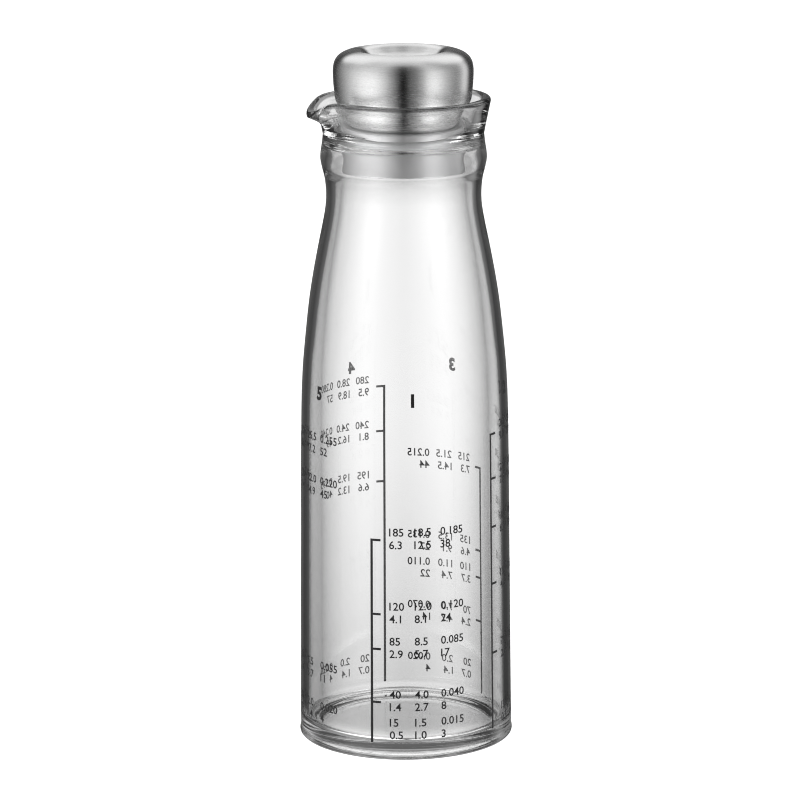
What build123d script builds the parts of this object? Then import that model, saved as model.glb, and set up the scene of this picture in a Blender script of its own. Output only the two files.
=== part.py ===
from build123d import *
import math
import os

# Salad dressing shaker bottle: a blown glass bottle with a poured-out spout on
# its collar, and a plug stopper under a deep-drawn steel cap.
# Millimetres. Origin: centre of the base, on the surface it stands on.
# +Z is up the bottle, and the spout points towards -X.

# ---------------------------------------------------------------- dimensions
BASE_CONTACT_R = 32.45       # outer edge of the flat ring the bottle stands on
BASE_CONTACT_IN_R = 28.0     # inner edge of that ring
BASE_PUSH_UP = 0.9           # hollow in the middle of the underside
HEEL_R = 33.24               # widest radius, on the bead round the heel
HEEL_Z = 0.95                # height of that widest place
HEEL_CREASE_R = 32.96        # shallow crease over the bead
HEEL_CREASE_Z = 2.2
FLOOR_Z = 4.6                # inside floor
FLOOR_FLAT_R = 26.6          # flat part of the inside floor
BODY_WALL = 2.5              # wall of the straight body
RIM_Z = 200.2                # top of the glass rim
COLLAR_FOOT_Z = 189.6        # waist where the collar starts
COLLAR_FOOT_R = 24.6
COLLAR_RIM_R = 26.85         # outside radius of the rim
THROAT_R = 19.38             # narrowest bore, at the foot of the collar
THROAT_Z = 187.5
CHAMBER_R = 22.18            # wider chamber in the bulge under the throat
RIM_WALL = 2.75              # glass at the rim
COLLAR_THICKER = 0.9         # more glass than that lower in the collar
FOOT_THICKER = 1.5           # and still more at its foot

SPOUT_TURN = 8.8             # degrees the spout is turned from -X towards -Y
SPOUT_TIP_R = 30.9           # reach of the pouring lip
SPOUT_DROOP = 4.4            # how far the lip dips under the rim
SPOUT_HALF_WIDTH = 0.35      # radians
SPOUT_PINCH = 1.5            # how far the rim is drawn in beside the lip
SPOUT_PINCH_AT = 0.665
SPOUT_PINCH_WIDTH = 0.46

CAP_SHEET = 0.8              # steel sheet
CAP_TOP_Z = 214.4
CAP_DISH_Z = 210.9           # floor of the finger dish
CAP_MAX_R = 21.35
CAP_HEM_Z = 191.5            # lowest point of the rolled hem

PLUG_TOP_Z = 191.2
PLUG_BOTTOM_Z = 177.9
PLUG_TOP_R = 18.9
PLUG_BOTTOM_R = 18.5
PLUG_WALL = 2.2
PLUG_FLOOR = 2.4
SEAL_Z = 187.9               # mid height of the seal ring
SEAL_HEIGHT = 2.4
SEAL_OUTER_R = 19.28
SEAL_GROOVE_R = 17.6
SEAL_FIT = 0.05              # running clearance of the ring in its groove

os.makedirs("parts", exist_ok=True)


def revolved(points_or_wire):
    """Turn a closed half section in the XZ plane about the Z axis."""
    return revolve(make_face(points_or_wire), Axis.Z, 360)


def ring_section(poly):
    """Closed polyline (r, z) turned into a solid of revolution."""
    with BuildSketch(Plane.XZ) as sk:
        with BuildLine():
            Polyline(*[(r, z) for r, z in poly], close=True)
        make_face()
    return revolve(sk.sketch, Axis.Z, 360)


# -------------------------------------------------------------- glass bottle
# outside of the body, heel to neck: (radius, height)
OUTER = [
    (33.00, 6.0), (32.88, 15.0), (32.73, 28.0), (32.62, 41.0), (32.48, 54.0),
    (32.33, 67.0), (32.23, 80.0), (32.08, 92.6), (31.85, 105.3), (31.62, 111.6),
    (31.23, 118.0), (30.65, 124.3), (29.99, 130.6), (29.28, 136.8), (28.35, 143.1),
    (27.25, 149.3), (26.02, 155.6), (24.74, 161.8), (23.92, 166.5), (23.69, 169.7),
    (23.80, 173.0), (24.15, 175.7), (24.82, 178.5), (25.24, 180.4), (25.38, 181.8),
    (25.30, 183.2), (25.03, 185.0), (24.78, 186.8), (24.60, 188.6), (24.42, 190.4),
    (24.28, 192.5),
]
# inside of the body, floor to throat
INNER_WALL = [
    (30.50, 8.6), (30.40, 15.0), (30.26, 28.0), (30.15, 41.0), (30.01, 54.0),
    (29.86, 67.0), (29.76, 80.0), (29.58, 92.6), (29.26, 105.3), (28.52, 118.0),
    (27.82, 124.3), (27.10, 130.6), (26.33, 136.8), (25.37, 143.1), (24.26, 149.3),
    (23.04, 155.6), (21.87, 161.8), (21.10, 166.5), (20.78, 169.7), (20.72, 172.5),
    (20.78, 175.0), (20.98, 176.3), (21.42, 177.5), (21.90, 178.6), (22.12, 180.0),
    (CHAMBER_R, 182.0), (22.14, 183.8), (22.02, 184.8), (21.55, 185.55), (20.60, 186.05),
    (19.75, 186.55), (THROAT_R, THROAT_Z), (19.35, 189.2),
]



def smooth_run(points):
    """One short curve between each two points, all tangent to each other."""

    def direction(k):
        a = points[max(k - 1, 0)]
        b = points[min(k + 1, len(points) - 1)]
        length = math.hypot(b[0] - a[0], b[1] - a[1])
        return ((b[0] - a[0]) / length, (b[1] - a[1]) / length)

    for k in range(len(points) - 1):
        Spline(points[k], points[k + 1], tangents=(direction(k), direction(k + 1)))


with BuildPart() as body_out:
    with BuildSketch(Plane.XZ):
        with BuildLine():
            l_axis = Line((0, BASE_PUSH_UP), (0, OUTER[-1][1]))
            l_top = Line((0, OUTER[-1][1]), OUTER[-1])
            smooth_run(OUTER[::-1])
            l_heel = Spline(OUTER[0], (HEEL_CREASE_R, HEEL_CREASE_Z), tangents=((0.0, -1.0), (0.0, -1.0)))
            l_bead = Spline((HEEL_CREASE_R, HEEL_CREASE_Z), (HEEL_R, HEEL_Z), (BASE_CONTACT_R, 0.0),
                            tangents=((0.0, -1.0), (-1.0, 0.0)))
            l_foot = Line((BASE_CONTACT_R, 0.0), (BASE_CONTACT_IN_R, 0.0))
            l_push = Line((BASE_CONTACT_IN_R, 0.0), (BASE_CONTACT_IN_R - 3.0, BASE_PUSH_UP))
            l_under = Line((BASE_CONTACT_IN_R - 3.0, BASE_PUSH_UP), (0, BASE_PUSH_UP))
        make_face()
    revolve(axis=Axis.Z)

with BuildPart() as body_in:
    with BuildSketch(Plane.XZ):
        with BuildLine():
            i_axis = Line((0, FLOOR_Z), (0, INNER_WALL[-1][1]))
            i_top = Line((0, INNER_WALL[-1][1]), INNER_WALL[-1])
            smooth_run(INNER_WALL[::-1])
            i_corner = Spline(INNER_WALL[0], (29.68, 5.9), (FLOOR_FLAT_R, FLOOR_Z),
                              tangents=((-0.02, -1.0), (-1.0, 0.0)))
            i_floor = Line((FLOOR_FLAT_R, FLOOR_Z), (0, FLOOR_Z))
        make_face()
    revolve(axis=Axis.Z)


def step(z, middle, width):
    """Smooth rise from 0 to 1 about a middle height."""
    return 1.0 / (1.0 + math.exp(-(z - middle) / width))


def spout_out(z):
    """Reach of the spout beyond the round collar, outside."""
    return 5.5 * step(z, 194.0, 0.62) + 0.1 * max(0.0, z - 196.0)


def spout_in(z):
    """Reach of the pouring channel beyond the bore of the collar."""
    return 6.8 * step(z, 194.4, 0.85) + 0.1 * max(0.0, z - 196.0)


SLOPE = (COLLAR_RIM_R - COLLAR_FOOT_R) / (RIM_Z - COLLAR_FOOT_Z)


def collar_outer(z):
    return COLLAR_FOOT_R + SLOPE * (z - COLLAR_FOOT_Z)


def collar_inner(z):
    """Bore of the collar: a funnel that widens up to the rim."""
    return (collar_outer(z) - RIM_WALL - COLLAR_THICKER * (1.0 - step(z, 196.5, 2.0))
            - FOOT_THICKER * (1.0 - step(z, 189.3, 1.2)))


def collar_section(z, radius, reach):
    """Closed curve of the collar at height z, with the spout drawn out of it."""
    pinch = SPOUT_PINCH * min(1.0, max(0.0, (z - 190.6) / 7.0))
    pts = []
    n = 72
    for k in range(n):
        phi = -math.pi + 2.0 * math.pi * k / n
        a = abs(phi)
        r = (radius + reach * math.exp(-((a / SPOUT_HALF_WIDTH) ** 2.1))
             - pinch * math.exp(-(((a - SPOUT_PINCH_AT) / SPOUT_PINCH_WIDTH) ** 2)))
        t = math.pi + math.radians(SPOUT_TURN) + phi
        pts.append(Vector(r * math.cos(t), r * math.sin(t), z))
    return Wire([Edge.make_spline(pts, periodic=True)])


outer_levels = [184.0 + k for k in range(20)]
inner_levels = [185.0 + k for k in range(19)]
collar_out = Solid.make_loft([collar_section(z, collar_outer(z), spout_out(z)) for z in outer_levels])
collar_in = Solid.make_loft([collar_section(z, collar_inner(z), spout_in(z)) for z in inner_levels])

# the rim dips over the spout: everything above this curve is cut away
DIP = [(20.0, RIM_Z), (23.2, RIM_Z), (24.8, 199.8), (27.1, 198.6), (28.5, 197.35),
       (29.8, 196.4), (30.9, RIM_Z - SPOUT_DROOP), (34.0, 195.35)]
with BuildPart() as dip_cut:
    with BuildSketch(Plane.XZ):
        with BuildLine():
            Line((60.0, RIM_Z), (-DIP[1][0], RIM_Z))
            Spline(*[(-r, z) for r, z in DIP[1:]], tangents=((-1.0, 0.0), (-1.0, -0.12)))
            Line((-DIP[-1][0], DIP[-1][1]), (-60.0, DIP[-1][1]))
            Line((-60.0, DIP[-1][1]), (-60.0, 230.0))
            Line((-60.0, 230.0), (60.0, 230.0))
            Line((60.0, 230.0), (60.0, RIM_Z))
        make_face()
    extrude(amount=60.0, both=True)
cutter = dip_cut.part.rotate(Axis.Z, SPOUT_TURN)

glass = body_out.part + collar_out
glass = glass - body_in.part
glass = glass - collar_in
glass = glass - cutter
glass_solids = glass.solids().sort_by(SortBy.VOLUME)
glass = glass_solids[-1]


def rim_edges(solid):
    """The long inner and outer edges of the cut rim."""
    return [e for e in solid.edges()
            if e.bounding_box().min.Z > RIM_Z - 5.6 and e.geom_type != GeomType.LINE]


for rim_fillet in (0.9, 0.8, 0.6, 0.4):
    try:
        rounded = glass.fillet(rim_fillet, rim_edges(glass))
        if rounded.is_valid and abs(rounded.volume - glass.volume) < 0.05 * glass.volume:
            glass = rounded
            print("rim fillet", rim_fillet, round(glass.volume))
            break
    except Exception as err:
        print("rim fillet", rim_fillet, "left out:", type(err).__name__)
export_step(glass, "parts/glass_bottle.step")

# ------------------------------------------------------------ steel cap shell
# outside of the shell from the dish to the hem
CAP_OUT = [
    (9.0, CAP_DISH_Z + 0.05), (10.6, 211.75), (11.7, 213.15), (12.7, 214.0), (14.1, CAP_TOP_Z),
    (15.6, 214.3), (17.2, 213.95), (18.9, 213.2), (20.1, 212.2), (20.75, 211.2),
    (21.15, 210.0), (CAP_MAX_R, 208.4), (21.33, 206.1), (21.22, 204.3), (20.95, 201.7),
    (20.68, 199.6), (20.25, 198.5), (19.6, 197.5), (18.95, 196.4), (18.5, 195.2),
    (18.05, 194.0), (17.55, 193.0), (17.2, 192.1), (16.75, CAP_HEM_Z),
]


def normals(points):
    out = []
    for k, (r, z) in enumerate(points):
        r0, z0 = points[max(k - 1, 0)]
        r1, z1 = points[min(k + 1, len(points) - 1)]
        dr, dz = r1 - r0, z1 - z0
        length = math.hypot(dr, dz)
        out.append((-dz / length, dr / length))
    return out


# the inside of the sheet lies one thickness behind the outside
CAP_IN = []
for (r, z), (nr, nz) in zip(CAP_OUT, normals(CAP_OUT)):
    CAP_IN.append((r - CAP_SHEET * nr, z - CAP_SHEET * nz))

with BuildPart() as cap:
    with BuildSketch(Plane.XZ):
        with BuildLine():
            Line((0, CAP_DISH_Z - CAP_SHEET), (0, CAP_DISH_Z))
            Line((0, CAP_DISH_Z), CAP_OUT[0])
            Spline(*CAP_OUT, tangents=((1.0, 0.1), (-0.75, -0.6)))
            Line(CAP_OUT[-1], CAP_IN[-1])
            Spline(*CAP_IN[::-1])
            Line(CAP_IN[0], (0, CAP_DISH_Z - CAP_SHEET))
        make_face()
    revolve(axis=Axis.Z)
export_step(cap.part, "parts/cap_shell.step")

# ------------------------------------------------- plastic insert in the cap
# It fills the lower half of the shell, behind the rolled hem, and carries a
# spigot that is pressed into the plug.
SPIGOT_R = 15.2
insert = ring_section([
    (0.0, 203.5), (7.0, 203.5), (7.0, 209.6), (9.0, 209.6), (9.0, 203.5),
    (18.6, 203.5), (20.0, 202.9), (19.75, 200.4), (19.1, 199.0), (18.2, 197.9),
    (17.7, 196.7), (17.2, 195.4), (16.7, 194.3), (16.2, 193.6), (15.7, 193.1), (15.7, PLUG_TOP_Z),
    (SPIGOT_R, PLUG_TOP_Z), (SPIGOT_R, 184.6), (13.2, 184.6), (13.2, 201.0), (0.0, 201.0),
])
export_step(insert, "parts/cap_insert.step")

# -------------------------------------------------------- translucent plug
taper = (PLUG_TOP_R - PLUG_BOTTOM_R) / (PLUG_TOP_Z - PLUG_BOTTOM_Z)


def plug_r(z):
    return PLUG_BOTTOM_R + taper * (z - PLUG_BOTTOM_Z)


g_lo = SEAL_Z - SEAL_HEIGHT / 2.0
g_hi = SEAL_Z + SEAL_HEIGHT / 2.0
plug = ring_section([
    (0.0, PLUG_BOTTOM_Z + 0.35), (15.5, PLUG_BOTTOM_Z + 0.35), (16.3, PLUG_BOTTOM_Z),
    (PLUG_BOTTOM_R - 0.6, PLUG_BOTTOM_Z), (PLUG_BOTTOM_R - 0.15, PLUG_BOTTOM_Z + 0.2),
    (PLUG_BOTTOM_R + 0.02, PLUG_BOTTOM_Z + 0.7),
    (plug_r(g_lo), g_lo), (SEAL_GROOVE_R, g_lo), (SEAL_GROOVE_R, g_hi), (plug_r(g_hi), g_hi),
    (plug_r(PLUG_TOP_Z - 0.4), PLUG_TOP_Z - 0.4), (PLUG_TOP_R - 0.4, PLUG_TOP_Z),
    (SPIGOT_R, PLUG_TOP_Z), (SPIGOT_R, PLUG_BOTTOM_Z + PLUG_FLOOR + 0.8),
    (SPIGOT_R - 0.8, PLUG_BOTTOM_Z + PLUG_FLOOR), (0.0, PLUG_BOTTOM_Z + PLUG_FLOOR),
])
export_step(plug, "parts/plug_body.step")

# ------------------------------------------------------------- seal ring
s_lo = g_lo + SEAL_FIT
s_hi = g_hi - SEAL_FIT
seal = ring_section([
    (SEAL_GROOVE_R + SEAL_FIT, s_lo), (SEAL_OUTER_R - 0.55, s_lo), (SEAL_OUTER_R - 0.12, s_lo + 0.45),
    (SEAL_OUTER_R, SEAL_Z - 0.35), (SEAL_OUTER_R, SEAL_Z + 0.35),
    (SEAL_OUTER_R - 0.12, s_hi - 0.45), (SEAL_OUTER_R - 0.55, s_hi), (SEAL_GROOVE_R + SEAL_FIT, s_hi),
])
export_step(seal, "parts/seal_ring.step")
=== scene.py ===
import bpy, bmesh, math
from mathutils import Matrix, Vector


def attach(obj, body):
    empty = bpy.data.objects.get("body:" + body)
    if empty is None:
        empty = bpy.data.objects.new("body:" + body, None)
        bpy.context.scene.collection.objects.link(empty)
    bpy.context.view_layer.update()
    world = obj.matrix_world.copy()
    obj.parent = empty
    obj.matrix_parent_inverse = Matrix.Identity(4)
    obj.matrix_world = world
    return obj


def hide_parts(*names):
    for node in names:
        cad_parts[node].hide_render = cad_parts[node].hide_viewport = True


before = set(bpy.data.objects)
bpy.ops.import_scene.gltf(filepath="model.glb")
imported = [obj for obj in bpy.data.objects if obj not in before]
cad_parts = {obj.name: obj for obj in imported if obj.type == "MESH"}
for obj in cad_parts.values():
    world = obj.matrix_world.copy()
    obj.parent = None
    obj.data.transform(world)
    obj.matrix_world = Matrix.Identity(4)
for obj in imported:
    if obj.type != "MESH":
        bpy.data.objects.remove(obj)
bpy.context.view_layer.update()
scene = bpy.context.scene
MM = 0.001

# ------------------------------------------------------------------ camera
cam_data = bpy.data.cameras.new("view_camera")
cam_data.sensor_width = 36.0
cam_data.lens = 3890.0 / 800.0 * 36.0
cam_data.clip_start = 0.05
cam_data.clip_end = 50.0
cam = bpy.data.objects.new("view_camera", cam_data)
scene.collection.objects.link(cam)
cam.matrix_world = (Matrix.Translation((0.0, -1.171, 0.3692))
                    @ Matrix.Rotation(math.radians(0.0702), 4, "Z")
                    @ Matrix.Rotation(math.radians(90.0 - 12.681), 4, "X")
                    @ Matrix.Rotation(math.radians(-0.266), 4, "Z"))
scene.camera = cam

# ------------------------------------------------------- render look, not size
scene.view_settings.view_transform = "Standard"
scene.view_settings.look = "None"
scene.view_settings.exposure = 0.0
scene.view_settings.gamma = 1.0
scene.cycles.max_bounces = 24
scene.cycles.transmission_bounces = 24
scene.cycles.glossy_bounces = 12
scene.cycles.diffuse_bounces = 3
scene.cycles.transparent_max_bounces = 16
scene.cycles.use_denoising = True
scene.cycles.blur_glossy = 0.0
scene.cycles.filter_width = 1.15
scene.cycles.sample_clamp_indirect = 6.0


# ------------------------------------------------------------ shape helpers
def spline_pts(points, per=6):
    """Smooth curve through the points, centripetal, with `per` steps each."""
    pts = [Vector((p[0], p[1])) for p in points]
    if len(pts) < 3:
        return [tuple(p) for p in pts]
    ext = [2 * pts[0] - pts[1]] + pts + [2 * pts[-1] - pts[-2]]
    out = []
    for i in range(1, len(ext) - 2):
        p0, p1, p2, p3 = ext[i - 1], ext[i], ext[i + 1], ext[i + 2]
        t0 = 0.0
        t1 = t0 + max((p1 - p0).length, 1e-9) ** 0.5
        t2 = t1 + max((p2 - p1).length, 1e-9) ** 0.5
        t3 = t2 + max((p3 - p2).length, 1e-9) ** 0.5
        for k in range(per):
            t = t1 + (t2 - t1) * k / per
            a1 = (t1 - t) / (t1 - t0) * p0 + (t - t0) / (t1 - t0) * p1
            a2 = (t2 - t) / (t2 - t1) * p1 + (t - t1) / (t2 - t1) * p2
            a3 = (t3 - t) / (t3 - t2) * p2 + (t - t2) / (t3 - t2) * p3
            b1 = (t2 - t) / (t2 - t0) * a1 + (t - t0) / (t2 - t0) * a2
            b2 = (t3 - t) / (t3 - t1) * a2 + (t - t1) / (t3 - t1) * a3
            c = (t2 - t) / (t2 - t1) * b1 + (t - t1) / (t2 - t1) * b2
            out.append((c.x, c.y))
    out.append((pts[-1].x, pts[-1].y))
    return out


def arc_pts(cx, cz, rad, a0, a1, n):
    """Arc in the half section; angles in degrees from +r towards +z."""
    return [(cx + rad * math.cos(math.radians(a0 + (a1 - a0) * k / n)),
             cz + rad * math.sin(math.radians(a0 + (a1 - a0) * k / n))) for k in range(n + 1)]


def rings_to_mesh(name, rings, closed=False, pole_start=None, pole_end=None, sharp=40.0):
    """Skin a list of rings (each a list of points, metres) with quads."""
    n = len(rings[0])
    verts, faces = [], []
    for ring in rings:
        verts.extend(ring)
    m = len(rings)
    for i in range(m if closed else m - 1):
        a, b = i * n, ((i + 1) % m) * n
        for k in range(n):
            k2 = (k + 1) % n
            faces.append((a + k, a + k2, b + k2, b + k))
    if pole_start is not None:
        verts.append(pole_start)
        p = len(verts) - 1
        for k in range(n):
            faces.append((p, (k + 1) % n, k))
    if pole_end is not None:
        verts.append(pole_end)
        p = len(verts) - 1
        a = (m - 1) * n
        for k in range(n):
            faces.append((p, a + k, a + (k + 1) % n))
    me = bpy.data.meshes.new(name)
    me.from_pydata(verts, [], faces)
    bm = bmesh.new()
    bm.from_mesh(me)
    bmesh.ops.recalc_face_normals(bm, faces=bm.faces)
    bm.to_mesh(me)
    bm.free()
    for p in me.polygons:
        p.use_smooth = True
    me.set_sharp_from_angle(angle=math.radians(sharp))
    me.update()
    ob = bpy.data.objects.new(name, me)
    scene.collection.objects.link(ob)
    return ob


def lathe(name, profile, segments=192, closed=True, sharp=40.0):
    """Turn a half section (mm) about the axis. An open section starts and
    ends on the axis."""
    body = profile if closed else profile[1:-1]
    rings = []
    for r, z in body:
        rings.append([(r * MM * math.cos(2 * math.pi * k / segments),
                       r * MM * math.sin(2 * math.pi * k / segments), z * MM)
                      for k in range(segments)])
    if closed:
        return rings_to_mesh(name, rings, closed=True, sharp=sharp)
    return rings_to_mesh(name, rings, False, (0, 0, profile[0][1] * MM),
                         (0, 0, profile[-1][1] * MM), sharp=sharp)


# ------------------------------------------------------------ node helpers
def new_material(name):
    mat = bpy.data.materials.new(name)
    mat.use_nodes = True
    nt = mat.node_tree
    bsdf = nt.nodes["Principled BSDF"]
    return mat, nt, bsdf


def node(nt, kind, **values):
    nd = nt.nodes.new(kind)
    for key, val in values.items():
        setattr(nd, key, val)
    return nd


def math_node(nt, op, a, b=None, clamp=False):
    nd = nt.nodes.new("ShaderNodeMath")
    nd.operation = op
    nd.use_clamp = clamp
    for i, v in enumerate((a, b)):
        if v is None:
            continue
        if isinstance(v, (int, float)):
            nd.inputs[i].default_value = v
        else:
            nt.links.new(v, nd.inputs[i])
    return nd.outputs[0]


def ramp(nt, fac, stops, interp="LINEAR"):
    nd = nt.nodes.new("ShaderNodeValToRGB")
    nd.color_ramp.interpolation = interp
    el = nd.color_ramp.elements
    while len(el) > 1:
        el.remove(el[-1])
    el[0].position = stops[0][0]
    v = stops[0][1]
    el[0].color = (v, v, v, 1) if isinstance(v, (int, float)) else (*v, 1)
    for pos, v in stops[1:]:
        e = el.new(pos)
        e.color = (v, v, v, 1) if isinstance(v, (int, float)) else (*v, 1)
    if fac is not None:
        nt.links.new(fac, nd.inputs[0])
    return nd.outputs[0]


def smooth(nt, val, lo, hi):
    nd = nt.nodes.new("ShaderNodeMapRange")
    nd.interpolation_type = "SMOOTHSTEP"
    nt.links.new(val, nd.inputs["Value"])
    nd.inputs["From Min"].default_value = lo
    nd.inputs["From Max"].default_value = hi
    return nd.outputs["Result"]


def mix_col(nt, fac, a, b, how="MIX"):
    nd = node(nt, "ShaderNodeMix", data_type="RGBA", blend_type=how)
    socks = {s.name: s for s in nd.inputs if s.enabled}
    for val, sock in ((fac, socks["Factor"]), (a, socks["A"]), (b, socks["B"])):
        if isinstance(val, (int, float)):
            sock.default_value = val if sock.type == "VALUE" else (val, val, val, 1)
        else:
            nt.links.new(val, sock)
    return [o for o in nd.outputs if o.enabled][0]


def mix_mul(nt, a, b):
    return mix_col(nt, 1.0, a, b, "MULTIPLY")


# ------------------------------------------------------------- glass bottle
OUTER = [
    (33.00, 6.0), (32.88, 15.0), (32.73, 28.0), (32.62, 41.0), (32.48, 54.0),
    (32.33, 67.0), (32.23, 80.0), (32.08, 92.6), (31.85, 105.3), (31.62, 111.6), (31.23, 118.0),
    (30.65, 124.3), (29.99, 130.6), (29.28, 136.8), (28.35, 143.1), (27.25, 149.3),
    (26.02, 155.6), (24.74, 161.8), (23.92, 166.5), (23.69, 169.7), (23.80, 173.0),
    (24.15, 175.7), (24.82, 178.5), (25.24, 180.4), (25.38, 181.8), (25.30, 183.2),
    (25.03, 185.0), (24.78, 186.8), (24.58, 188.6),
]
INNER = [
    (30.50, 8.6), (30.40, 15.0), (30.26, 28.0), (30.15, 41.0), (30.01, 54.0),
    (29.86, 67.0), (29.76, 80.0), (29.58, 92.6), (29.26, 105.3), (28.52, 118.0),
    (27.82, 124.3), (27.10, 130.6), (26.33, 136.8), (25.37, 143.1), (24.26, 149.3),
    (23.04, 155.6), (21.87, 161.8), (21.10, 166.5), (20.78, 169.7), (20.72, 172.5),
    (20.78, 175.0), (20.98, 176.3), (21.42, 177.5), (21.90, 178.6), (22.12, 180.0),
    (22.18, 182.0), (22.14, 183.8), (22.02, 184.8), (21.55, 185.55), (20.60, 186.05), (19.75, 186.55), (19.40, 187.4),
]
RIM_Z = 200.2
COLLAR_FOOT_Z, COLLAR_FOOT_R, COLLAR_RIM_R = 189.6, 24.6, 26.85
SLOPE = (COLLAR_RIM_R - COLLAR_FOOT_R) / (RIM_Z - COLLAR_FOOT_Z)
SPOUT_TURN = math.radians(8.8)
SEG = 288


def step(z, mid, width):
    return 1.0 / (1.0 + math.exp(-(z - mid) / width))


def lobe(phi):
    return math.exp(-((abs(phi) / 0.35) ** 2.1))


def pinch(z, phi):
    return (1.5 * min(1.0, max(0.0, (z - 190.6) / 7.0))
            * math.exp(-(((abs(phi) - 0.665) / 0.46) ** 2)))


def collar_outer(z, phi):
    waist = 0.06 * math.exp(-((z - COLLAR_FOOT_Z) / 1.4) ** 2)
    return (COLLAR_FOOT_R + SLOPE * (z - COLLAR_FOOT_Z) + waist
            + (5.5 * step(z, 194.0, 0.62) + 0.1 * max(0.0, z - 196.0)) * lobe(phi) - pinch(z, phi))


def collar_inner(z, phi):
    cone = COLLAR_FOOT_R + SLOPE * (z - COLLAR_FOOT_Z)
    funnel = cone - 2.75 - 0.9 * (1.0 - step(z, 196.5, 2.0)) - 1.5 * (1.0 - step(z, 189.3, 1.2))
    return (max(19.38, funnel)
            + (6.8 * step(z, 194.4, 0.85) + 0.1 * max(0.0, z - 196.0)) * lobe(phi) - pinch(z, phi))


def rim_z(phi):
    return RIM_Z - 4.4 * math.exp(-((abs(phi) / 0.30) ** 2.9))


def glass_rings():
    ang = [2 * math.pi * k / SEG for k in range(SEG)]

    def wrap(t):
        p = t - (math.pi + SPOUT_TURN)
        return (p + math.pi) % (2 * math.pi) - math.pi

    phis = [wrap(t) for t in ang]
    rings = []

    def flat_ring(r, z):
        rings.append([(r * MM * math.cos(t), r * MM * math.sin(t), z * MM) for t in ang])

    # underside: shallow push-up, contact ring, heel
    for r, z in [(6.0, 0.9), (12.0, 0.88), (17.0, 0.84), (21.0, 0.76), (24.0, 0.62), (26.2, 0.36),
                 (27.4, 0.12), (28.2, 0.01), (29.0, 0.0), (30.5, 0.0), (31.8, 0.0)]:
        flat_ring(r, z)
    for r, z in spline_pts([(32.4, 0.02), (32.85, 0.16), (33.15, 0.5), (33.24, 0.95), (33.18, 1.4),
                            (33.02, 1.85), (32.96, 2.3), (32.98, 3.4), (33.0, 6.0)], 3)[:-1]:
        flat_ring(r, z)
    for r, z in spline_pts(OUTER, 5):
        flat_ring(r, z)
    # collar, outside, up to the shoulder of the rounded rim
    lip = 1.25
    n_up = 46
    z_start = 188.6
    for k in range(1, n_up + 1):
        ring = []
        for t, phi in zip(ang, phis):
            z_top = rim_z(phi) - lip
            u = k / n_up
            z = z_start + (z_top - z_start) * u
            r = collar_outer(z, phi)
            if u < 0.12:
                r = r * (u / 0.12) + OUTER[-1][0] * (1 - u / 0.12)
            ring.append((r * MM * math.cos(t), r * MM * math.sin(t), z * MM))
        rings.append(ring)
    # rounded rim from the outside to the inside
    outer_count = len(rings)
    n_rim = 14
    for k in range(1, n_rim):
        a = math.pi * k / n_rim
        ring = []
        for t, phi in zip(ang, phis):
            zt = rim_z(phi) - lip
            ro, ri = collar_outer(zt, phi), collar_inner(zt, phi)
            mid, half = (ro + ri) / 2.0, (ro - ri) / 2.0
            ca, sa = math.cos(a), math.sin(a)
            r = mid + half * math.copysign(abs(ca) ** 0.9, ca)
            z = zt + lip * sa ** 0.9
            ring.append((r * MM * math.cos(t), r * MM * math.sin(t), z * MM))
        rings.append(ring)
    # funnel, inside, down to the throat
    rim_end = len(rings)
    n_dn = 44
    z_end = 187.8
    for k in range(0, n_dn):
        ring = []
        for t, phi in zip(ang, phis):
            z_top = rim_z(phi) - lip
            u = k / n_dn
            z = z_top + (z_end - z_top) * u
            r = collar_inner(z, phi)
            ring.append((r * MM * math.cos(t), r * MM * math.sin(t), z * MM))
        rings.append(ring)
    for r, z in spline_pts(INNER[::-1], 5):
        flat_ring(r, z)
    # inside corner and floor
    for r, z in spline_pts([(30.50, 8.6), (30.32, 7.1), (29.68, 5.9), (28.4, 4.95), (26.4, 4.62),
                            (24.0, 4.6)], 4)[1:]:
        flat_ring(r, z)
    for r in (20.0, 15.0, 10.0, 5.0):
        flat_ring(r, 4.6)
    return rings, outer_count, rim_end


glass_skin, outer_count, rim_end = glass_rings()
glass = rings_to_mesh("bottle_glass", glass_skin, False, (0, 0, 0.9 * MM), (0, 0, 4.6 * MM), sharp=80.0)
# two masks on the surface: the outer skin, and the fire-polished rim, which carries painted shade
outside = glass.data.attributes.new("outer_skin", "FLOAT", "POINT")
rim_shade_mask = glass.data.attributes.new("rim_painted_shade", "FLOAT", "POINT")
for i in range(len(glass.data.vertices)):
    ring_no = i // SEG
    outside.data[i].value = 1.0 if ring_no < outer_count + 4 or i == len(glass_skin) * SEG else 0.0
    rim_shade_mask.data[i].value = max(0.0, min(1.0, (ring_no - outer_count + 2) / 2.0, (rim_end + 1 - ring_no) / 2.0))

m_glass, nt, bsdf = new_material("clear_blown_glass")
bsdf.inputs["Transmission Weight"].default_value = 1.0
bsdf.inputs["IOR"].default_value = 1.5
bsdf.inputs["Roughness"].default_value = 0.0
tex = node(nt, "ShaderNodeTexCoord")
noise = node(nt, "ShaderNodeTexNoise")
noise.inputs["Scale"].default_value = 28.0
noise.inputs["Detail"].default_value = 0.0
nt.links.new(tex.outputs["Object"], noise.inputs["Vector"])
bump = node(nt, "ShaderNodeBump")
bump.inputs["Strength"].default_value = 0.04
bump.inputs["Distance"].default_value = 0.0002
nt.links.new(noise.outputs["Fac"], bump.inputs["Height"])
nt.links.new(bump.outputs["Normal"], bsdf.inputs["Normal"])
lw = node(nt, "ShaderNodeLayerWeight")
lw.inputs["Blend"].default_value = 0.5
# painted shade: the neck glass is darkened by a ramp on how edge-on it is seen
neck_painted_shade = ramp(nt, lw.outputs["Facing"], [
    (0.0, 1.0), (0.08, 0.98), (0.15, 0.93), (0.23, 0.86), (0.32, 0.74), (0.40, 0.58), (0.46, 0.50), (0.53, 0.62),
    (0.62, 0.86), (0.72, 1.0), (1.0, 1.0)])
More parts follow.
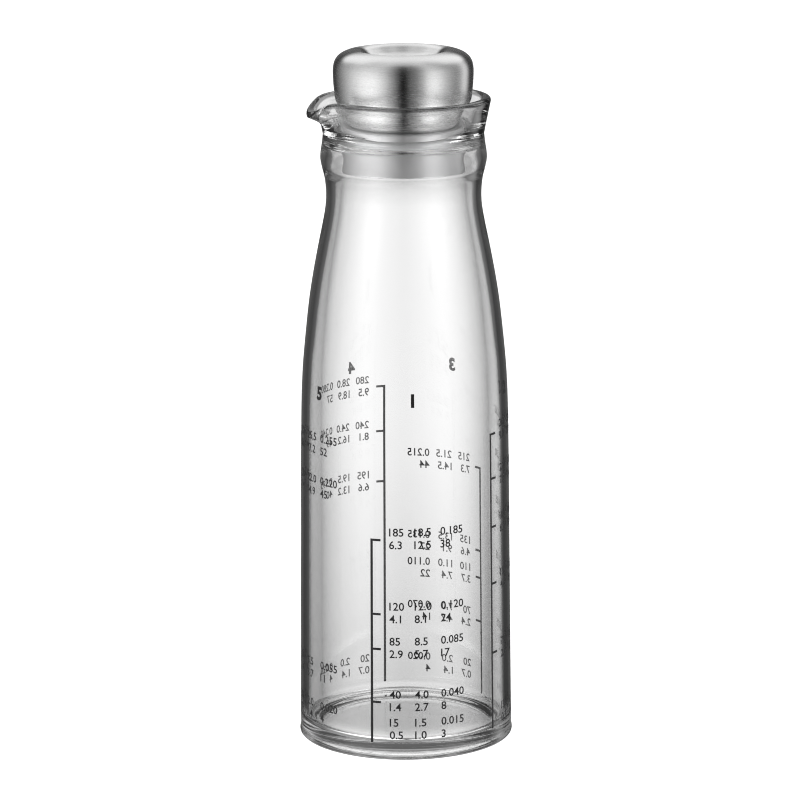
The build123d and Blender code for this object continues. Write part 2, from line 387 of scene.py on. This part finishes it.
# painted shade: the wall is darkened towards its edge by a ramp on how edge-on it is seen
wall_edge_painted_shade = ramp(nt, lw.outputs["Facing"], [
    (0.0, 1.0), (0.10, 0.91), (0.22, 0.77), (0.32, 0.54), (0.42, 0.20), (0.54, 0.58), (0.66, 0.85), (1.0, 0.85)])
place = node(nt, "ShaderNodeSeparateXYZ")
nt.links.new(tex.outputs["Object"], place.inputs[0])
skin = node(nt, "ShaderNodeAttribute", attribute_name="outer_skin")
rim_shade = node(nt, "ShaderNodeAttribute", attribute_name="rim_painted_shade")
# painted shade: the wall is darker towards the base, and a painted shadow band lies just under the stopper
height_painted_shade = ramp(nt, math_node(nt, "DIVIDE", place.outputs["Z"], 0.2), [(z / 200.0, v) for z, v in (
    (0, 1.0), (4.5, 1.0), (6, 0.64), (20, 0.72), (45, 0.83), (95, 1.0),
    (170, 1.0), (174.5, 0.78), (178.2, 0.45), (179.4, 1.0), (200, 1.0))])
# painted shade: edge darkening on the body's outer skin, neck darkening above the collar foot
body_painted_shade = mix_col(nt, skin.outputs["Fac"], 1.0, wall_edge_painted_shade)
glass_painted_shade = mix_col(nt, smooth(nt, place.outputs["Z"], 0.1745, 0.1795), body_painted_shade, neck_painted_shade)
glass_painted_shade = mix_mul(nt, glass_painted_shade, mix_col(nt, skin.outputs["Fac"], 1.0, height_painted_shade))
# painted shade on the thick ring of glass where the collar meets the neck, stronger where it is seen edge on
ring = math_node(nt, "MULTIPLY", smooth(nt, place.outputs["Z"], 0.1865, 0.1882),
                 math_node(nt, "SUBTRACT", 1.0, smooth(nt, place.outputs["Z"], 0.1906, 0.1926)))
ring = math_node(nt, "MULTIPLY", math_node(nt, "MULTIPLY", ring, skin.outputs["Fac"]),
                 math_node(nt, "ADD", 0.22, math_node(nt, "MULTIPLY", smooth(nt, lw.outputs["Facing"], 0.10, 0.30), 0.40)))
glass_painted_shade = mix_mul(nt, glass_painted_shade, math_node(nt, "SUBTRACT", 1.0, ring))
# painted shade: the flare of the collar is darker where it is seen edge on
flare_painted_shade = math_node(nt, "MULTIPLY", smooth(nt, place.outputs["Z"], 0.1900, 0.1915),
                  math_node(nt, "MULTIPLY", skin.outputs["Fac"], smooth(nt, lw.outputs["Facing"], 0.20, 0.42)))
glass_painted_shade = mix_mul(nt, glass_painted_shade, math_node(nt, "SUBTRACT", 1.0, math_node(nt, "MULTIPLY", flare_painted_shade, 0.5)))
# painted shade: dark line where the heel turns in under the base
from_axis = math_node(nt, "SQRT", math_node(nt, "ADD", math_node(nt, "MULTIPLY", place.outputs["X"], place.outputs["X"]),
                                            math_node(nt, "MULTIPLY", place.outputs["Y"], place.outputs["Y"])))
heel = math_node(nt, "MULTIPLY", smooth(nt, from_axis, 0.0323, 0.0327),
                 math_node(nt, "SUBTRACT", 1.0, smooth(nt, place.outputs["Z"], 0.0007, 0.0014)))
glass_painted_shade = mix_mul(nt, glass_painted_shade, math_node(nt, "SUBTRACT", 1.0, math_node(nt, "MULTIPLY", heel, 0.65)))
# painted shade: the rounded rim is darkened
glass_painted_shade = mix_mul(nt, glass_painted_shade, math_node(nt, "SUBTRACT", 1.0, math_node(nt, "MULTIPLY", rim_shade.outputs["Fac"], 0.84)))
# the painted shade above becomes the glass's base colour
nt.links.new(glass_painted_shade, bsdf.inputs["Base Color"])
glass.data.materials.append(m_glass)
glass.visible_shadow = False
glass.visible_diffuse = False
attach(glass, "bottle")
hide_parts("glass_bottle")

# ------------------------------------------- printed measuring scale on the glass
# Enamel lines, ticks and plain numbers, a thin layer that follows the wall.
OUT_DENSE = spline_pts(OUTER, 5)
IN_DENSE = spline_pts(INNER, 5)
INK_BACK, INK_FRONT = 0.02, 0.055


def radius_at(z, dense):
    for (r0, z0), (r1, z1) in zip(dense, dense[1:]):
        if z0 <= z <= z1:
            return r0 + (r1 - r0) * (z - z0) / max(z1 - z0, 1e-9)
    return dense[0][0] if z < dense[0][1] else dense[-1][0]


def millilitres(z):
    """Volume in the bottle up to height z."""
    total, n = 0.0, 60
    for k in range(n):
        zz = 4.9 + (z - 4.9) * (k + 0.5) / n
        total += math.pi * radius_at(zz, IN_DENSE) ** 2 * (z - 4.9) / n
    return total / 1000.0


def on_glass(turn_deg, z, lift):
    """Point on the outside of the wall; the angle runs from -Y towards +X."""
    r = (radius_at(z, OUT_DENSE) + lift) * MM
    a = math.radians(turn_deg)
    return (r * math.sin(a), -r * math.cos(a), z * MM)


def to_turn(mm):
    return math.degrees(mm / 32.6)


ink_verts, ink_faces = [], []


def ink_bar(x0, z0, x1, z1, width, base_turn):
    """Straight bar with square ends; x in mm along the wall from base_turn."""
    length = math.hypot(x1 - x0, z1 - z0)
    n = max(2, int(length / 1.6))
    px, pz = -(z1 - z0) / length * width / 2.0, (x1 - x0) / length * width / 2.0
    first = len(ink_verts)
    for k in range(n + 1):
        x, z = x0 + (x1 - x0) * k / n, z0 + (z1 - z0) * k / n
        for sx, lift in ((1, INK_BACK), (1, INK_FRONT), (-1, INK_FRONT), (-1, INK_BACK)):
            ink_verts.append(on_glass(base_turn + to_turn(x + sx * px), z + sx * pz, lift))
    for k in range(n):
        a, b = first + 4 * k, first + 4 * (k + 1)
        for i in range(4):
            j = (i + 1) % 4
            ink_faces.append((a + i, a + j, b + j, b + i))
    ink_faces.append((first + 3, first + 2, first + 1, first))
    last = first + 4 * n
    ink_faces.append((last, last + 1, last + 2, last + 3))


def ink_number(text, x, z, height, base_turn, bold=0.0, centre=False):
    """Plain digits, laid on the wall; z is the foot of the digits."""
    curve = bpy.data.curves.new("number", "FONT")
    curve.body = text
    curve.resolution_u = 3
    curve.offset = bold
    curve.extrude = 0.5
    temp = bpy.data.objects.new("number", curve)
    scene.collection.objects.link(temp)
    bpy.context.view_layer.update()
    me = bpy.data.meshes.new_from_object(temp.evaluated_get(bpy.context.evaluated_depsgraph_get()))
    bm = bmesh.new()
    bm.from_mesh(me)
    bmesh.ops.remove_doubles(bm, verts=bm.verts, dist=1e-5)
    bmesh.ops.recalc_face_normals(bm, faces=bm.faces)
    ys = [v.co.y for v in bm.verts]
    xs = [v.co.x for v in bm.verts]
    k = height / 0.70
    x_start = x - (k * (max(xs) + min(xs)) / 2.0 if centre else k * min(xs))
    first = len(ink_verts)
    bm.verts.ensure_lookup_table()
    for v in bm.verts:
        lift = INK_FRONT if v.co.z > 0 else INK_BACK
        ink_verts.append(on_glass(base_turn + to_turn(x_start + k * v.co.x), z + k * v.co.y, lift))
    for f in bm.faces:
        ink_faces.append(tuple(first + v.index for v in f.verts))
    bm.free()
    bpy.data.objects.remove(temp)
    bpy.data.curves.remove(curve)
    bpy.data.meshes.remove(me)


# line angle, foot and top of the line, tick heights, angle and height of the column number
COLUMNS = [
    (-18.4, 5.4, 69.3, (18.3, 35.1, 46.1, 69.3), 22.7, 110.6, 9.4),
    (54.3, 5.8, 99.0, (30.0, 52.0, 69.9, 85.1, 99.0), 20.0, 109.9, 9.4),
    (127.6, 4.6, 79.6, (29.3, 43.6, 52.5, 79.6), 22.0, 110.1, 12.0),
    (192.4, 5.6, 103.8, (72.7, 89.4, 103.8), 22.0, 109.3, 12.0),
    (-91.0, 5.4, 95.6, (24.0, 82.4, 95.6), 36.0, 110.1, 11.0),
]


def number_row(z, turn0):
    """Volume at this height: ml, cl and l above; fl oz, tablespoons and teaspoons below."""
    ml = 5.0 * round(millilitres(z) / 5.0)
    for x, upper, lower in ((5.5, "%d" % ml, "%.1f" % (ml / 29.57)),
                            (13.2, "%.1f" % (ml / 10.0), "%.1f" % (ml / 14.79)),
                            (21.4, "%.3f" % (ml / 1000.0), "%d" % round(ml / 4.93))):
        ink_number(upper, x, z + 1.35, 2.45, turn0, bold=0.014)
        ink_number(lower, x, z - 2.6, 2.45, turn0, bold=0.014)


for number, (turn0, foot, top, ticks, head_at, head_z, low_z) in enumerate(COLUMNS, 1):
    ink_bar(0.0, foot, 0.0, top + 0.36, 0.78, turn0)
    for z in ticks:
        ink_bar(0.37, z, 2.85, z, 0.72, turn0)
        number_row(z, turn0)
    number_row(low_z, turn0)
    ink_number("%d" % number, 32.6 * math.radians(head_at), head_z, 3.8, turn0, bold=0.045, centre=True)
ink_me = bpy.data.meshes.new("scale_print")
ink_me.from_pydata(ink_verts, [], ink_faces)
bm = bmesh.new()
bm.from_mesh(ink_me)
bmesh.ops.recalc_face_normals(bm, faces=bm.faces)
bm.to_mesh(ink_me)
bm.free()
ink = bpy.data.objects.new("scale_print", ink_me)
scene.collection.objects.link(ink)
m_ink, nt, bsdf = new_material("black_enamel_print")
bsdf.inputs["Specular IOR Level"].default_value = 0.25
tex = node(nt, "ShaderNodeTexCoord")
n5 = node(nt, "ShaderNodeTexNoise")
n5.inputs["Scale"].default_value = 900.0
n5.inputs["Detail"].default_value = 2.0
nt.links.new(tex.outputs["Object"], n5.inputs["Vector"])
nt.links.new(ramp(nt, n5.outputs["Fac"], [(0.3, (0.010, 0.010, 0.011)), (0.7, (0.020, 0.020, 0.021))]), bsdf.inputs["Base Color"])
nt.links.new(ramp(nt, n5.outputs["Fac"], [(0.3, 0.38), (0.7, 0.52)]), bsdf.inputs["Roughness"])
bump = node(nt, "ShaderNodeBump")
bump.inputs["Strength"].default_value = 0.2
bump.inputs["Distance"].default_value = 0.00001
nt.links.new(n5.outputs["Fac"], bump.inputs["Height"])
nt.links.new(bump.outputs["Normal"], bsdf.inputs["Normal"])
ink.data.materials.append(m_ink)
ink.visible_shadow = False
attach(ink, "bottle")

# --------------------------------------------------------------- steel cap
CAP_OUT = [
    (0.0, 210.90), (4.0, 210.92), (7.6, 211.0), (9.2, 211.25), (10.6, 211.95), (11.7, 213.0), (12.7, 213.95),
    (14.1, 214.38), (15.6, 214.3), (17.2, 213.95), (18.9, 213.2), (20.1, 212.2), (20.75, 211.2),
    (21.15, 210.0), (21.34, 208.4), (21.31, 206.1), (21.22, 204.3), (20.95, 201.7),
    (20.68, 199.6), (20.25, 198.5), (19.6, 197.5), (18.95, 196.4), (18.5, 195.2),
    (18.05, 194.0), (17.6, 193.0), (17.25, 192.1),
]
cap_outside = spline_pts(CAP_OUT, 6)


def offset_in(points, d):
    out = []
    for k, (r, z) in enumerate(points):
        r0, z0 = points[max(k - 1, 0)]
        r1, z1 = points[min(k + 1, len(points) - 1)]
        dr, dz = r1 - r0, z1 - z0
        ln = math.hypot(dr, dz)
        out.append((max(0.0, r + d * dz / ln), z - d * dr / ln))
    return out


hem = [(16.8, 191.52), (16.35, 191.42), (16.1, 191.75), (16.25, 192.1), (16.5, 192.45)]
cap_inside = offset_in(cap_outside, 0.8)
cap_profile = cap_outside + spline_pts([cap_outside[-1]] + hem, 4)[1:] + cap_inside[::-1]
cap_profile[0] = (0.0, cap_profile[0][1])
cap_profile[-1] = (0.0, cap_profile[-1][1])
cap = lathe("steel_cap", cap_profile, 256, closed=False, sharp=60.0)

m_steel, nt, bsdf = new_material("brushed_steel")
bsdf.inputs["Metallic"].default_value = 1.0
bsdf.inputs["Anisotropic"].default_value = 1.0
bsdf.inputs["Anisotropic Rotation"].default_value = 0.25
bsdf.inputs["IOR"].default_value = 2.6
tex = node(nt, "ShaderNodeTexCoord")
sep = node(nt, "ShaderNodeSeparateXYZ")
nt.links.new(tex.outputs["Object"], sep.inputs[0])
ang = math_node(nt, "ARCTAN2", sep.outputs["Y"], sep.outputs["X"])
rad2 = math_node(nt, "SQRT", math_node(nt, "ADD", math_node(nt, "MULTIPLY", sep.outputs["X"], sep.outputs["X"]),
                                       math_node(nt, "MULTIPLY", sep.outputs["Y"], sep.outputs["Y"])))
# brushing runs round the axis: fine across, long along
comb = node(nt, "ShaderNodeCombineXYZ")
nt.links.new(math_node(nt, "MULTIPLY", ang, 1.3), comb.inputs["X"])
nt.links.new(math_node(nt, "MULTIPLY", rad2, 5200.0), comb.inputs["Y"])
nt.links.new(math_node(nt, "MULTIPLY", sep.outputs["Z"], 5200.0), comb.inputs["Z"])
n1 = node(nt, "ShaderNodeTexNoise")
n1.inputs["Scale"].default_value = 1.0
n1.inputs["Detail"].default_value = 3.0
n1.inputs["Roughness"].default_value = 0.6
nt.links.new(comb.outputs[0], n1.inputs["Vector"])
rough = ramp(nt, n1.outputs["Fac"], [(0.25, 0.25), (0.75, 0.29)])
nt.links.new(rough, bsdf.inputs["Roughness"])
col = ramp(nt, n1.outputs["Fac"], [(0.3, 0.635), (0.7, 0.705)])
nt.links.new(col, bsdf.inputs["Base Color"])
bump = node(nt, "ShaderNodeBump")
bump.inputs["Strength"].default_value = 0.05
bump.inputs["Distance"].default_value = 0.00002
nt.links.new(n1.outputs["Fac"], bump.inputs["Height"])
nt.links.new(bump.outputs["Normal"], bsdf.inputs["Normal"])
tan = node(nt, "ShaderNodeTangent", direction_type="RADIAL", axis="Z")
nt.links.new(tan.outputs["Tangent"], bsdf.inputs["Tangent"])
cap.data.materials.append(m_steel)
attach(cap, "stopper")
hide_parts("cap_shell")

# ------------------------------------------------------ plug, insert, seal
PLUG_TOP, PLUG_BOTTOM = 191.2, 177.9
SEAL_Z, SEAL_H = 187.9, 2.4


def plug_r(z):
    return 18.5 + 0.4 * (z - PLUG_BOTTOM) / (PLUG_TOP - PLUG_BOTTOM)


plug_profile = (
    [(0.0, PLUG_BOTTOM + 0.35), (8.0, PLUG_BOTTOM + 0.35), (15.3, PLUG_BOTTOM + 0.33), (16.0, PLUG_BOTTOM + 0.12), (16.5, PLUG_BOTTOM + 0.02)]
    + [(17.4, PLUG_BOTTOM)] + arc_pts(17.75, PLUG_BOTTOM + 0.75, 0.75, -90, 0, 6)
    + [(plug_r(z), z) for z in (179.5, 181.0, 183.0, 185.0, 186.2)]
    + [(plug_r(186.64), 186.64), (plug_r(186.7) - 0.05, 186.7), (17.6, 186.7), (17.6, 189.1), (plug_r(189.1) - 0.05, 189.1), (plug_r(189.16), 189.16)]
    + arc_pts(18.38, 190.72, 0.48, 0, 90, 6)
    + [(17.0, 191.2), (15.2, 191.2), (15.2, 181.1), (14.4, 180.3), (7.0, 180.3), (0.0, 180.3)]
)
plug = lathe("stopper_plug", plug_profile, 192, closed=False, sharp=35.0)
m_plug, nt, bsdf = new_material("translucent_plug_plastic")
bsdf.inputs["IOR"].default_value = 1.7
bsdf.inputs["Metallic"].default_value = 0.65
bsdf.inputs["Specular IOR Level"].default_value = 0.8
tex = node(nt, "ShaderNodeTexCoord")
n2 = node(nt, "ShaderNodeTexNoise")
n2.inputs["Scale"].default_value = 120.0
n2.inputs["Detail"].default_value = 1.0
nt.links.new(tex.outputs["Object"], n2.inputs["Vector"])
nt.links.new(ramp(nt, n2.outputs["Fac"], [(0.3, 0.28), (0.7, 0.34)]), bsdf.inputs["Roughness"])
nt.links.new(ramp(nt, n2.outputs["Fac"], [(0.3, (0.65, 0.65, 0.655)), (0.7, (0.69, 0.69, 0.695))]), bsdf.inputs["Base Color"])
bump = node(nt, "ShaderNodeBump")
bump.inputs["Strength"].default_value = 0.03
bump.inputs["Distance"].default_value = 0.00003
nt.links.new(n2.outputs["Fac"], bump.inputs["Height"])
nt.links.new(bump.outputs["Normal"], bsdf.inputs["Normal"])
plug.data.materials.append(m_plug)
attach(plug, "stopper")
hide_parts("plug_body")

insert_profile = [
    (0.0, 203.5), (7.0, 203.5), (7.0, 209.6), (9.0, 209.6), (9.0, 203.5),
    (18.6, 203.5), (20.0, 202.9), (19.75, 200.4), (19.1, 199.0), (18.2, 197.9),
    (17.7, 196.7), (17.2, 195.4), (16.7, 194.3), (16.2, 193.6), (15.7, 193.1), (15.7, 191.2),
    (15.15, 191.2), (15.15, 184.6), (13.2, 184.6), (13.2, 201.0), (0.0, 201.0),
]
insert = lathe("cap_core", insert_profile, 128, closed=False, sharp=30.0)
m_ins, nt, bsdf = new_material("moulded_core_plastic")
tex = node(nt, "ShaderNodeTexCoord")
n3 = node(nt, "ShaderNodeTexNoise")
n3.inputs["Scale"].default_value = 1400.0
n3.inputs["Detail"].default_value = 2.0
nt.links.new(tex.outputs["Object"], n3.inputs["Vector"])
nt.links.new(ramp(nt, n3.outputs["Fac"], [(0.3, (0.66, 0.66, 0.67)), (0.7, (0.72, 0.72, 0.73))]), bsdf.inputs["Base Color"])
nt.links.new(ramp(nt, n3.outputs["Fac"], [(0.3, 0.5), (0.7, 0.62)]), bsdf.inputs["Roughness"])
bump = node(nt, "ShaderNodeBump")
bump.inputs["Strength"].default_value = 0.15
bump.inputs["Distance"].default_value = 0.00004
nt.links.new(n3.outputs["Fac"], bump.inputs["Height"])
nt.links.new(bump.outputs["Normal"], bsdf.inputs["Normal"])
insert.data.materials.append(m_ins)
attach(insert, "stopper")
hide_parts("cap_insert")

seal_profile = (
    [(17.65, SEAL_Z - 1.17), (18.70, SEAL_Z - 1.17)]
    + spline_pts([(18.84, SEAL_Z - 1.14), (19.06, SEAL_Z - 0.80), (19.25, SEAL_Z), (19.06, SEAL_Z + 0.80), (18.84, SEAL_Z + 1.14)], 4)
    + [(18.70, SEAL_Z + 1.17), (17.65, SEAL_Z + 1.17)]
)
seal = lathe("silicone_seal_ring", seal_profile, 192, closed=True, sharp=50.0)
m_seal, nt, bsdf = new_material("translucent_silicone")
bsdf.inputs["IOR"].default_value = 1.7
bsdf.inputs["Metallic"].default_value = 0.6
tex = node(nt, "ShaderNodeTexCoord")
n4 = node(nt, "ShaderNodeTexNoise")
n4.inputs["Scale"].default_value = 160.0
nt.links.new(tex.outputs["Object"], n4.inputs["Vector"])
nt.links.new(ramp(nt, n4.outputs["Fac"], [(0.3, (0.60, 0.605, 0.61)), (0.7, (0.64, 0.645, 0.65))]), bsdf.inputs["Base Color"])
nt.links.new(ramp(nt, n4.outputs["Fac"], [(0.3, 0.32), (0.7, 0.42)]), bsdf.inputs["Roughness"])
bump = node(nt, "ShaderNodeBump")
bump.inputs["Strength"].default_value = 0.1
bump.inputs["Distance"].default_value = 0.00003
nt.links.new(n4.outputs["Fac"], bump.inputs["Height"])
nt.links.new(bump.outputs["Normal"], bsdf.inputs["Normal"])
seal.data.materials.append(m_seal)
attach(seal, "seal")
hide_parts("seal_ring")

# ------------------------------------------------------------------- stage
bpy.ops.mesh.primitive_plane_add(size=8.0, location=(0, 0, -0.00002))
floor = bpy.context.object
floor.name = "pale_floor"
m_floor, nt, bsdf = new_material("pale_floor")
bsdf.inputs["Base Color"].default_value = (0.9, 0.9, 0.9, 1)
bsdf.inputs["Roughness"].default_value = 0.9
bsdf.inputs["Specular IOR Level"].default_value = 0.0
bsdf.inputs["Emission Color"].default_value = (1, 1, 1, 1)
bsdf.inputs["Emission Strength"].default_value = 0.55
floor.data.materials.append(m_floor)
floor.visible_transmission = False
floor.visible_glossy = False

# world: plain white behind, soft boxes at the sides and overhead with dark gaps
# between them, which the steel, the plastic and the glass pick up
world = bpy.data.worlds.new("studio")
scene.world = world
world.use_nodes = True
world.cycles.sampling_method = "NONE"
nt = world.node_tree
bg = nt.nodes["Background"]
tc = node(nt, "ShaderNodeTexCoord")
sep = node(nt, "ShaderNodeSeparateXYZ")
nt.links.new(tc.outputs["Generated"], sep.inputs[0])
# turn round the object: 0.5 at the front (-Y), 0 and 1 at the back, left below 0.5
turn = math_node(nt, "ADD", math_node(nt, "DIVIDE",
                 math_node(nt, "ARCTAN2", sep.outputs["X"], math_node(nt, "MULTIPLY", sep.outputs["Y"], -1.0)),
                 2.0 * math.pi), 0.5)
rise = math_node(nt, "ARCSINE", sep.outputs["Z"])


def turn_stops(pairs):
    return [(0.5 + deg / 360.0, val) for deg, val in pairs]


def deg(v):
    return math.radians(v)


boxes = ramp(nt, turn, turn_stops([
    (-180, 0.16), (-150, 0.04), (-134, 0.17), (-122, 0.34), (-113, 0.48), (-97, 0.75), (-83, 0.98), (-70, 1.12),
    (-53, 1.15), (-43, 1.03), (-32, 0.80), (-22, 0.46), (-16, 0.30), (-10, 0.14), (-4, 0.02), (0, 0.0),
    (4, 0.02), (12, 0.15), (22, 0.26), (32, 0.52), (43, 1.0), (53, 1.12), (64, 0.94), (76, 0.66),
    (90, 0.42), (97, 0.34), (106, 0.40), (120, 0.95), (126, 0.9), (138, 0.10), (150, 0.04), (180, 0.16)]))
gap = smooth(nt, rise, deg(8), deg(22))
sides = mix_col(nt, math_node(nt, "MULTIPLY", gap, 0.3), boxes, 0.05)
pitch_over = math_node(nt, "ARCTAN2", sep.outputs["Z"], math_node(nt, "MULTIPLY", sep.outputs["Y"], -1.0))
sideways = math_node(nt, "ABSOLUTE", math_node(nt, "ARCSINE", sep.outputs["X"]))
over = math_node(nt, "MULTIPLY", math_node(nt, "SUBTRACT", 1.0, smooth(nt, sideways, deg(32), deg(58))),
                 math_node(nt, "MULTIPLY", smooth(nt, pitch_over, deg(92), deg(112)), smooth(nt, rise, deg(19), deg(29))))
sides = mix_col(nt, smooth(nt, rise, deg(64), deg(80)), sides, 0.9)
with_top = mix_col(nt, over, sides, 1.4)
low_behind = math_node(nt, "MULTIPLY", smooth(nt, math_node(nt, "ABSOLUTE", math_node(nt, "SUBTRACT", turn, 0.5)), 0.36, 0.42),
                       smooth(nt, math_node(nt, "MULTIPLY", rise, -1.0), deg(16), deg(24)))
low = math_node(nt, "ADD", 1.0, math_node(nt, "MULTIPLY", smooth(nt, math_node(nt, "MULTIPLY", rise, -1.0), deg(22), deg(40)), 0.9))
side_cards = ramp(nt, turn, turn_stops([
    (-180, 1.0), (-125, 1.25), (-103, 1.45), (-69, 1.45), (-50, 1.3), (-32, 1.05), (0, 1.0), (20, 0.8), (32, 0.78),
    (48, 1.2), (63, 1.5), (80, 1.3), (95, 1.0), (180, 1.0)]))
with_cards = mix_col(nt, smooth(nt, math_node(nt, "MULTIPLY", rise, -1.0), deg(12), deg(26)), with_top,
                     mix_mul(nt, with_top, side_cards))
scaled = node(nt, "ShaderNodeVectorMath", operation="SCALE")
nt.links.new(with_cards, scaled.inputs[0])
nt.links.new(low, scaled.inputs["Scale"])
studio = mix_col(nt, low_behind, scaled.outputs[0], 0.40)
lp = node(nt, "ShaderNodeLightPath")
bounced = math_node(nt, "ADD", lp.outputs["Glossy Depth"], lp.outputs["Diffuse Depth"], clamp=True)
seen = mix_col(nt, bounced, 1.03, studio)
nt.links.new(mix_col(nt, lp.outputs["Is Camera Ray"], seen, 1.0), bg.inputs["Color"])
bg.inputs["Strength"].default_value = 1.0
